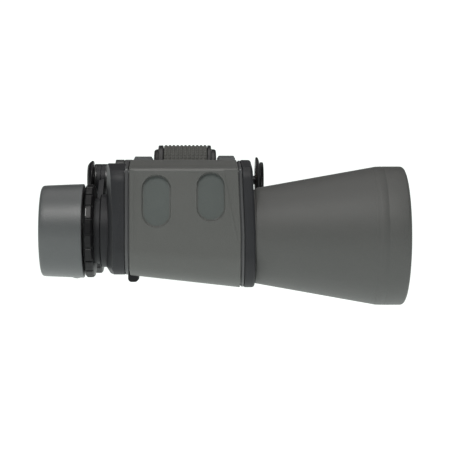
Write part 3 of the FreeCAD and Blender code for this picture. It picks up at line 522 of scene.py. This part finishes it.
def edge_profile(rear, front, edge, inner, span):
    """A closed (X, inset) profile: the outer skin between two rounded ends, and the inner skin."""
    ends = rounded([(rear, inner), (rear, 0, edge), (front, 0, edge), (front, inner)], 5)
    first = [p for p in ends if p[0] < (rear + front) / 2]
    last = [p for p in ends if p[0] > (rear + front) / 2]
    start, stop = first[-1][0], last[0][0]
    count = max(1, int((stop - start) / span))
    middle = [(start + (stop - start) * i / count, 0.0) for i in range(1, count)]
    return first + middle + last


def shell(name, side, profile, body, material, rear, front, **more):
    rings = house_rings(SIDES[side], profile, rear, front, dent=more.pop("dent", None))
    return mesh_piece(name, np.concatenate(rings), ring_faces(len(rings[0]), len(rings)), body, material,
                      **more)


STRIP_GROOVES = {"rear": (0.3, 0.6), "front": (0.6, 0.3)}
STRIP_RIDGE, STRIP_GROOVE, STRIP_ROOT = 0.3, 1.5, 4.0


def seam_strip(side, end, rear, front):
    """A strip round the house with a ridge between two grooves, wider on the armour's side."""
    low, high = STRIP_GROOVES[end]
    start, stop = rear + 0.02, front - 0.02
    profile = rounded([(start, STRIP_ROOT), (start, STRIP_GROOVE), (rear + low, STRIP_GROOVE),
                       (rear + low, STRIP_RIDGE, 0.15), (front - high, STRIP_RIDGE, 0.15),
                       (front - high, STRIP_GROOVE), (stop, STRIP_GROOVE), (stop, STRIP_ROOT)], 3)
    shell(f"{side}_{end}_strip", side, profile, f"{side}_half", "seam_metal", rear, front,
          replaces=[f"{side}_{end}_seam"])


def armour(side):
    """The rubber skin, whose attribute "floor" marks the grooves' floors for painted shade with a bluer tone,
    and the strips at its ends.
    """
    profile = edge_profile(ARMOUR_REAR + 0.02, ARMOUR_FRONT - 0.02, 0.5, ARMOUR_T, 0.3)
    skin = shell(f"{side}_armour_skin", side, profile, f"{side}_half", "armour_rubber", ARMOUR_REAR,
                 ARMOUR_FRONT, dent=armour_dent, replaces=[f"{side}_housing_armour"])
    places = np.array([vert.co for vert in skin.data.vertices]) / MM
    reach = groove_reach(places[:, 0], places[:, 2])
    # floor masks the grooves' floors, which the material paints darker and bluer as shade.
    floor = smooth((reach - FLOOR_EDGE) / FLOOR_EDGE) * (np.abs(places[:, 1]) > FLOOR_Y)
    layer = skin.data.attributes.new("floor", "FLOAT", "POINT")
    layer.data.foreach_set("value", floor.astype(np.float32))
    seam_strip(side, "rear", REAR_SEAM, ARMOUR_REAR)
    seam_strip(side, "front", ARMOUR_FRONT, FRONT_SEAM)


def bent_face(xs, ys, zs):
    """The rear cover's face falls away outside the eyepiece, less so near the top, and over its heel.
    Its front edge stays straight."""
    fall = FACE_SLOPE * np.log1p(np.exp((ys - FACE_BEND_Y) / FACE_SOFT)) * FACE_SOFT
    fall = fall * (1 - TWIST * np.clip((zs - TWIST_LOW) / TWIST_SPAN, 0, 1))
    share = np.clip((PLATE_REAR + FACE_REACH - xs) / FACE_REACH, 0, 1)
    heel = HEEL_LENGTH * np.clip((BOTTOM[0] + PLATE_INSET + HEEL_RISE - zs) / HEEL_RISE, 0, 1)
    return np.maximum(xs + fall * share, np.minimum(PLATE_REAR + fall + heel, REAR_SEAM - 1.0))


def capped(name, side, profile, body, material, rear, front, hub, place=None, rise=0.0, **more):
    """A cover: rings of the outline along X with both ends closed by rings that shrink towards hub."""
    sign = SIDES[side]
    rings = house_rings(sign, profile, rear, front, rise, plate=True)
    centre = np.array([0, sign * hub[0], hub[1]])
    shrink = [(1 - step / 14) for step in range(1, 14)] + [0.0]

    def shrunk(ring, scale):
        return np.concatenate([ring[:, :1], centre[1:] + (ring[:, 1:] - centre[1:]) * scale], axis=1)

    head = [shrunk(rings[0], scale) for scale in reversed(shrink)]
    tail = [shrunk(rings[-1], scale) for scale in shrink]
    rings = head + rings + tail
    if place is not None:
        for ring in rings:
            ring[:, 0] = place(ring[:, 0], np.abs(ring[:, 1]), ring[:, 2])
    return mesh_piece(name, np.concatenate(rings), ring_faces(len(rings[0]), len(rings), closed=False), body,
                      material, **more)


def bored(piece, holes):
    """Cuts round holes along X through a piece, given as (Y, Z, radius, rear, front)."""
    for index, (y, z, radius, rear, front) in enumerate(holes):
        work = bmesh.new()
        bmesh.ops.create_cone(work, cap_ends=True, segments=96, radius1=radius * MM, radius2=radius * MM,
                              depth=(front - rear) * MM)
        for vert in work.verts:
            vert.co = Vector((vert.co.z + (rear + front) / 2 * MM, vert.co.x + y * MM, vert.co.y + z * MM))
        mesh = bpy.data.meshes.new(f"cutter_{index}")
        work.to_mesh(mesh)
        work.free()
        cutter = bpy.data.objects.new(f"cutter_{index}", mesh)
        bpy.context.scene.collection.objects.link(cutter)
        change = piece.modifiers.new("bore", "BOOLEAN")
        change.operation = "DIFFERENCE"
        change.solver = "EXACT"
        change.object = cutter
        settled = bpy.data.meshes.new_from_object(
            piece.evaluated_get(bpy.context.evaluated_depsgraph_get()))
        piece.modifiers.remove(change)
        piece.data = settled
        bpy.data.objects.remove(cutter)
    shade(piece.data, 35.0)


def plates(side):
    sign, body = SIDES[side], f"{side}_half"
    ocular, objective = centre_of(f"{side}_eyecup"), centre_of(f"{side}_objective_armour")
    profile = [(PLATE_REAR, inset) for inset in (5.0, 4.2, 3.4, 2.6, 1.8)] + list(rounded([
        (PLATE_REAR, 12), (PLATE_REAR, PLATE_INSET, 0.6), (REAR_SEAM - 0.02, PLATE_INSET, 0.35),
        (REAR_SEAM - 0.02, 12)], 4)[1:-1])
    rear = capped(f"{side}_rear_cover", side, profile, body, "black_paint", PLATE_REAR, REAR_SEAM,
                  (45.0, -22.0), place=bent_face, rise=-PLATE_DROP, replaces=[f"{side}_rear_plate"])
    bored(rear, [(*ocular, 15.0, -90, -50)])
    lathe(f"{side}_guide_collar", [(-76.8, 14.96), (-76.8, 18.6, 0.5), (-71.0, 18.6), (-71.0, 14.96)],
          ocular, body, "black_paint")
    profile = rounded([(FRONT_SEAM + 0.02, 12), (FRONT_SEAM + 0.02, 0, 0.35), (PLATE_FRONT, 0, 1.4),
                       (PLATE_FRONT, 12)], 6)[1:-1]
    front = capped(f"{side}_front_cover", side, profile, body, "black_paint", FRONT_SEAM, PLATE_FRONT,
                   (50.0, -24.0), replaces=[f"{side}_front_plate"])
    bored(front, [(*objective, 21.0, -20, 20)])
    left = sign > 0
    for end, rear_x, front_x, radius, bore, edge in (
            ("rear", -71.3 if left else -66.45, -66.55 if left else -62.05, 10.9, 6.5, WALL_Y + 3),
            ("front", -5.35 if left else -2.45, -2.55 if left else 0.35, 8.6, 5.0, WALL_Y + 2)):
        bore += 0 if left else 0.06
        lathe(f"{side}_{end}_hinge_eye", [(rear_x, bore), (rear_x, radius, 0.5), (front_x, radius, 0.5),
                                          (front_x, bore)], (0, 0), body, "grey_plastic", slot="black_paint")
        web(f"{side}_{end}_hinge_web", sign, rear_x, front_x, bore + 1.2, edge, -9.0, 5.0, body,
            "black_paint")


def web(name, sign, rear, front, near, far, low, high, body, material, soft=0.5, **more):
    """A flat bar from a hinge eye out to the house, with rounded long edges."""
    outline = rounded([(rear, low, soft), (front, low, soft), (front, high, soft), (rear, high, soft)], 4)
    rings = [np.stack([outline[:, 0], np.full(len(outline), sign * y), outline[:, 1] * scale], 1)
             for y, scale in ((near, 0.62), (near, 0.62), (0.5 * (near + far), 0.86), (far, 1.0))]
    faces = ring_faces(len(outline), len(rings), closed=False)
    last = (len(rings) - 1) * len(outline)
    faces += [tuple(range(len(outline))), tuple(range(last, last + len(outline)))]
    mesh_piece(name, np.concatenate(rings), faces, body, material, **more)


def lobes():
    for side, name, rear, front, radius, bore in (("left", "rear", -61.68, -51.4, 12.6, 6.5),
                                                  ("right", "front", -17.0, -7.42, 13.1, 5.06)):
        lathe(f"{side}_{name}_lobe", [(rear, bore), (rear, radius - 1.3, 0.4), (rear + 0.8, radius, 0.5),
                                      (front - 0.8, radius, 0.5), (front, radius - 1.3, 0.4), (front, bore)],
              (0, 0), f"{side}_half", "lobe_rubber", slot="armour_rubber")
        web(f"{side}_{name}_lobe_web", SIDES[side], rear + 1.9, front - 0.7, bore + 1.2, WALL_Y + 1.2, -9.0,
            6.4, f"{side}_half", "lobe_rubber", 1.0, slot="armour_rubber")


# ---------------------------------------------------------------- eyepieces
PADS, PAD_GAP, PAD_PHASE, RING_R = 20, math.radians(1.7), math.radians(-3.7), 23.9


def pads(x, radius, turn):
    """Shallow grooves that part the ring's band into flat pads."""
    step = math.tau / PADS
    away = np.abs((turn - PAD_PHASE + step / 2) % step - step / 2)
    groove = 0.55 * smooth((PAD_GAP - away) / (0.5 * PAD_GAP))
    crown = 0.12 * (away / (step / 2)) ** 2
    return -(groove + crown) if radius > RING_R - 0.6 else np.zeros_like(turn)


def eyepiece(side):
    sign = SIDES[side]
    centre = centre_of(f"{side}_eyecup")
    low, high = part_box(f"{side}_eyecup")
    rear, front = low.x / MM, high.x / MM
    moving = "left_carriage" if side == "left" else "right_ocular"
    carriage = f"{side}_carriage"
    ring_body = "left_carriage" if side == "left" else "diopter_ring"
    ring_node = "left_eyepiece_ring" if side == "left" else "diopter_ring"
    pip_turn = math.pi

    def pip(x, radius, turn):
        """A tiny moulding pip under the cup."""
        away = np.hypot((x - rear - 17.6) / 1.7, (np.abs(turn - pip_turn) * radius) / 1.9)
        return 0.45 * smooth(1.35 - away) * (radius > 22)

    lathe(f"{side}_eyecup_rubber", [
        (rear, 17.5, 0.9), (rear, 23.1, 2.6), (rear + 2.9, 23.35, 1.0), (rear + 9.0, 23.6),
        (rear + 13.0, 23.78), (rear + 14.6, 23.83), (rear + 15.5, 23.86), (rear + 16.4, 23.9),
        (rear + 17.2, 23.93), (rear + 18.0, 23.96), (rear + 18.8, 23.98), (rear + 19.8, 24.03),
        (front, 24.1, 0.5), (front, 20.5), (-105.0, 20.5),
        (-105.0, 17.5, 0.3)], centre, moving, "eyecup_rubber", steps=360, swell=pip,
        replaces=[f"{side}_eyecup"])
    lathe(f"{side}_ocular_head", [
        (-105.0, 17.15, 0.2), (-105.0, 20.5, 0.2), (-86.0, 20.5, 0.3), (-86.0, 13.4), (-66.0, 13.4, 0.3),
        (-66.0, 12.2), (-73.0, 12.2), (-73.0, 11.7), (-78.0, 11.7), (-78.0, 10.4), (-94.2, 10.4),
        (-94.2, 11.5),
        (-99.8, 11.5), (-100.0, 12.1, 0.2), (-100.9, 12.9), (-101.2, 12.9), (-101.2, 13.3), (-102.4, 14.5),
        (-102.7, 14.5), (-102.7, 14.8)], centre, moving, "ocular_black", replaces=[f"{side}_ocular_barrel"])
    ring_gap = 14.9 if side == "left" else 14.96
    low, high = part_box(ring_node)
    rear, front = low.x / MM, high.x / MM
    lathe(f"{side}_eyepiece_ring_band", [
        (rear, ring_gap), (rear, RING_R - 0.75, 0.15), (rear + 0.75, RING_R, 0.15),
        (front - 0.9, RING_R, 0.5), (front, RING_R - 0.9, 0.5), (front, ring_gap)], centre,
        ring_body, "black_plastic", steps=720, swell=pads, replaces=[ring_node])
    lathe(f"{side}_sleeve_tube", [
        (-84.4, 13.46), (-84.4, 14.9, 0.2), (-77.1, 14.9), (-77.1, 18.6, 0.3), (-76.95, 18.6), (-76.95, 14.9),
        (-63.5, 14.9, 0.3), (-63.5, 13.46)], centre, carriage, "black_paint",
        replaces=[f"{side}_eyepiece_sleeve"])
    for glass, bulges in (("eye_lens", (60.0, 32.0)), ("field_lens", (40.0, 90.0))):
        low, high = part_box(f"{side}_{glass}")
        lens(f"{side}_{glass}_glass", low.x / MM, high.x / MM, (high.y - low.y) / 2 / MM, *bulges, centre,
             moving, "coated_glass" if glass == "eye_lens" else "glass", f"{side}_{glass}")
    # The right ring gets a painted highlight: a thin pale dash on a pad's rear edge, also its index dash.
    if sign < 0:
        mark(centre, rear)


def mark(centre, rear):
    """A pale dash near the diopter ring's rear edge, on the outer side above the middle: a painted highlight
    of the pad's rear edge, which also serves as the ring's index dash.
    """
    angle, half_width, out = math.radians(-66.7), math.radians(4.8), RING_R + 0.03
    verts = []
    for x in (rear + 0.8, rear + 1.2):
        for radius in (out - 0.9, out):
            for side_angle in (angle - half_width, angle + half_width):
                verts.append((x, centre[0] + radius * math.sin(side_angle),
                              centre[1] + radius * math.cos(side_angle)))
    faces = [(0, 1, 3, 2), (4, 6, 7, 5), (0, 4, 5, 1), (2, 3, 7, 6), (0, 2, 6, 4), (1, 5, 7, 3)]
    mesh_piece("painted_highlight_index_dash", verts, faces, "diopter_ring", "painted_highlight_grey", slot="black_plastic")


def lens(name, rear, front, radius, rear_bulge, front_bulge, centre, body, material, cad_node):
    """A lens whose faces are caps of two balls; a negative bulge is a hollow face."""
    def cap(edge, bulge, outward):
        radii = np.linspace(0, radius - 0.15, 16)
        sag = np.sign(bulge) * (abs(bulge) - np.sqrt(bulge * bulge - radii * radii))
        return [(edge + outward * -s, r) for s, r in zip(sag, radii)]
    profile = cap(rear, rear_bulge, -1) + list(reversed(cap(front, front_bulge, 1)))
    lathe(name, profile, centre, body, material, steps=96, replaces=[cad_node], sharp=50)


# ---------------------------------------------------------------- objectives
CONE_REAR_R, CONE_FRONT_R, CONE_FRONT = 23.5, 34.2, 59.8


def objective(side):
    body = f"{side}_half"
    centre = centre_of(f"{side}_objective_armour")
    low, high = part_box(f"{side}_objective_armour")
    rear, front, rim = low.x / MM, high.x / MM, (high.y - low.y) / 2 / MM
    slope = (CONE_FRONT_R - CONE_REAR_R) / (CONE_FRONT - rear)

    def on_cone(x):
        return CONE_REAR_R + slope * (x - rear)

    lines = []
    for x, deep in ((56.9, 0.05), (58.6, 0.08)):
        lines += [(x - 0.35, on_cone(x - 0.35)), (x - 0.1, on_cone(x) - deep), (x + 0.1, on_cone(x) - deep),
                  (x + 0.35, on_cone(x + 0.35))]
    lathe(f"{side}_objective_skin", [
        (rear - 2.0, 21.8), (rear - 2.0, 22.9, 0.2), (rear + 0.5, 22.9),
        (rear + 0.5, on_cone(rear + 0.5), 0.3),
        (rear + 20, on_cone(rear + 20)), (40.0, on_cone(40.0)), *lines,
        (60.3, rim - 0.1, 3.0), (63.2, rim), (63.4, rim - 0.07), (63.6, rim - 0.07), (63.8, rim),
        (front, rim, 2.0), (front, 30.9, 0.5), (front - 1.2, 30.9), (front - 1.2, 32.5), (CONE_FRONT, 32.5)],
        centre, body, "objective_rubber", steps=256,
        replaces=[f"{side}_objective_armour"], slot="armour_rubber", sharp=50)
    low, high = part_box(f"{side}_objective_cell")
    ribs = []
    for index in range(3):
        x = high.x / MM - 0.6 - index * 0.95
        ribs += [(x, 27.4 - index * 0.42), (x - 0.3, 27.0 - index * 0.42), (x - 0.6, 27.2 - index * 0.42)]
    lathe(f"{side}_lens_cell", [
        (low.x / MM, 24.6), (low.x / MM, 27.3, 0.4), (59.9, 27.3), (59.9, 30.7),
        (high.x / MM, 30.7, 0.2),
        (high.x / MM, 27.6, 0.3), *ribs, (63.0, 26.0), (53.0, 26.0), (53.0, 24.6)], centre, body,
        "inner_black", steps=192, replaces=[f"{side}_objective_cell"])
    lens(f"{side}_crown_glass", 55.5, 63.0, 26.0, 90.0, 110.0, centre, body, "coated_glass",
         f"{side}_objective_crown")
    lathe(f"{side}_lock_ring", [(60.1, 25.1), (60.1, 26.0), (64.4, 26.0, 0.2), (64.4, 25.1, 0.3)], centre,
          body, "inner_black", steps=192, swell=key_slots, replaces=[f"{side}_retaining_ring"])


def key_slots(x, radius, turn):
    """Two shallow spanner slots in the front edge of the lock ring."""
    near = np.minimum(np.abs(turn - math.pi / 2), np.abs(turn - 3 * math.pi / 2))
    return 0.5 * smooth((math.radians(4) - near) / math.radians(1)) * (x > 64.2) * (radius < 25.5)


# ---------------------------------------------------------------- hinge, wheel and bridge
GRIP_ROWS, GRIP_COLUMNS, GRIP_LIFT = 55, 11, 0.55


def grip():
    """The rubber tyre of the wheel: a grid of small raised squares with soft tops."""
    low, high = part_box("focus_wheel_grip")
    rear, front, top = low.x / MM, high.x / MM, (high.z - low.z) / 2 / MM
    pitch = (front - rear) / GRIP_COLUMNS
    per_row, per_column = 8, 10
    steps = GRIP_ROWS * per_row
    turn = np.arange(steps) / steps * math.tau
    xs = np.linspace(rear + 0.12, front - 0.12, GRIP_COLUMNS * per_column + 8)

    def square(phase):
        return smooth((0.5 + 0.5 * np.cos(phase * math.tau)) * 1.9 - 0.25)

    rows = square(turn / math.tau * GRIP_ROWS)
    rings = [np.full(steps, 17.0), np.full(steps, top - GRIP_LIFT - 0.25)]
    places = [rear, rear]
    for x in xs:
        column = (x - rear) / pitch - 0.5
        rings.append(top - GRIP_LIFT + GRIP_LIFT * square(column) * rows)
        places.append(x)
    rings += [np.full(steps, top - GRIP_LIFT - 0.25), np.full(steps, 17.0)]
    places += [front, front]
    verts = np.concatenate([np.stack([np.full(steps, x), r * np.sin(turn), r * np.cos(turn)], 1)
                            for x, r in zip(places, rings)])
    mesh_piece("focus_grip_tyre", verts, ring_faces(steps, len(rings)), "focus_wheel", "grip_rubber",
               replaces=["focus_wheel_grip"], sharp=60)


def wheel():
    low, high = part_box("focus_wheel_hub")
    rear, front = low.x / MM, high.x / MM
    lathe("focus_wheel_body", [
        (rear, 6.56), (rear, 16.0, 1.2), (rear + 2.1, 16.6, 0.3), (rear + 2.2, 16.2), (rear + 2.3, 16.2),
        (rear + 2.3, 18.5, 0.5), (rear + 4.9, 18.6, 0.4), (rear + 5.0, 17.3), (rear + 5.2, 17.0),
        (-22.5, 17.0), (-22.4, 17.3), (-22.3, 18.6, 0.4), (-20.3, 18.6, 0.6), (-20.3, 17.2, 0.2),
        (-20.1, 16.6, 0.2), (front + 0.1, 16.4, 1.9), (front + 0.1, 5.06), (-20.3, 5.06),
        (-20.3, 5.5), (-28.0, 5.5), (-28.0, 4.56), (-48.6, 4.56),
        (-48.6, 6.56)], (0, 0), "focus_wheel", "gloss_black", steps=192, replaces=["focus_wheel_hub"],
        slot="wheel_metal")


KNOB_R, KNOB_TEETH = 9.6, 90


def knurl(x, radius, turn):
    """The fine teeth round the knob of the tripod cap."""
    if KNOB_R - 0.25 < radius < KNOB_R + 0.1:
        return 0.14 * (np.cos(turn * KNOB_TEETH) - 1)
    return np.zeros_like(turn)


def small_caps():
    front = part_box("tripod_cap")[1].x / MM
    lathe("tripod_cap_disc", [
        (0.4, 0.0), (0.4, 3.2, 0.2), (1.8, 3.2, 0.2), (1.8, 2.35), (3.5, 2.35), (3.5, 11.9, 0.3),
        (3.8, 12.3, 0.3),
        (4.7, 12.2, 0.6), (5.5, 10.3, 0.5), (5.6, 9.0), (6.0, 9.0), (6.0, KNOB_R, 0.1),
        (front - 0.3, KNOB_R, 0.2), (front, 9.0, 0.3), (front, 7.4, 0.2), (front - 0.35, 7.1, 0.2),
        (front - 0.35, 0.0)], (0, 0), "tripod_cap", "black_plastic", steps=720, swell=knurl,
        replaces=["tripod_cap"])
    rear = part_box("bridge_cap")[0].x / MM
    lathe("bridge_cap_disc", [
        (rear + 0.5, 0.0), (rear + 0.5, 5.6, 0.2), (rear, 6.1, 0.2), (rear, 7.9, 0.4), (rear + 0.9, 9.2, 0.6),
        (-83.9, 10.3, 0.5), (-83.0, 10.1, 0.3), (-83.0, 6.2), (-82.5, 6.2), (-82.5, 0.0)], (0, 0),
        "left_carriage", "black_plastic", steps=192, replaces=["bridge_cap"])
    lathe("bridge_hub_drum", [
        (-82.5, 4.5), (-82.5, 8.3, 0.3), (-81.9, 8.55, 0.2), (-81.4, 8.55), (-81.4, 5.5), (-76.6, 5.5),
        (-76.6, 8.55), (-74.4, 8.55, 0.3), (-74.4, 4.5)], (0, 0), "left_carriage", "dull_black", steps=144,
        replaces=["bridge_hub"], slot="black_paint")


def softened(cad_node, name, body, material, width):
    """A copy of a CAD node with flat faces merged and its edges rounded."""
    source = frame["nodes"][cad_node]
    piece = bpy.data.objects.new(name, source.data.copy())
    bpy.context.scene.collection.objects.link(piece)
    work = bmesh.new()
    work.from_mesh(piece.data)
    bmesh.ops.remove_doubles(work, verts=work.verts, dist=1e-6)
    bmesh.ops.dissolve_limit(work, angle_limit=math.radians(2), verts=work.verts, edges=work.edges)
    work.to_mesh(piece.data)
    work.free()
    change = piece.modifiers.new("edge", "BEVEL")
    change.width = width * MM
    change.segments = 3
    change.limit_method = "ANGLE"
    change.angle_limit = math.radians(40)
    piece.data = bpy.data.meshes.new_from_object(piece.evaluated_get(bpy.context.evaluated_depsgraph_get()))
    piece.modifiers.clear()
    piece.data.materials.clear()
    piece.data.materials.append(materials[material])
    shade(piece.data, 35.0)
    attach(piece, body)
    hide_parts(cad_node)


# ---------------------------------------------------------------- assembly
camera()
studio()
for cad_node, thing in frame["nodes"].items():
    slot = next(part["material_slot"] for part in frame["record"]["subparts"] if part["node"] == cad_node)
    thing.data.materials.clear()
    thing.data.materials.append(materials[slot])
    shade(thing.data, 30.0)
for side in SIDES:
    armour(side)
    plates(side)
    eyepiece(side)
    objective(side)
    softened(f"{side}_bridge_arm", f"{side}_bridge_bar", f"{side}_carriage", "black_paint", 0.3)
lobes()
grip()
wheel()
small_caps()
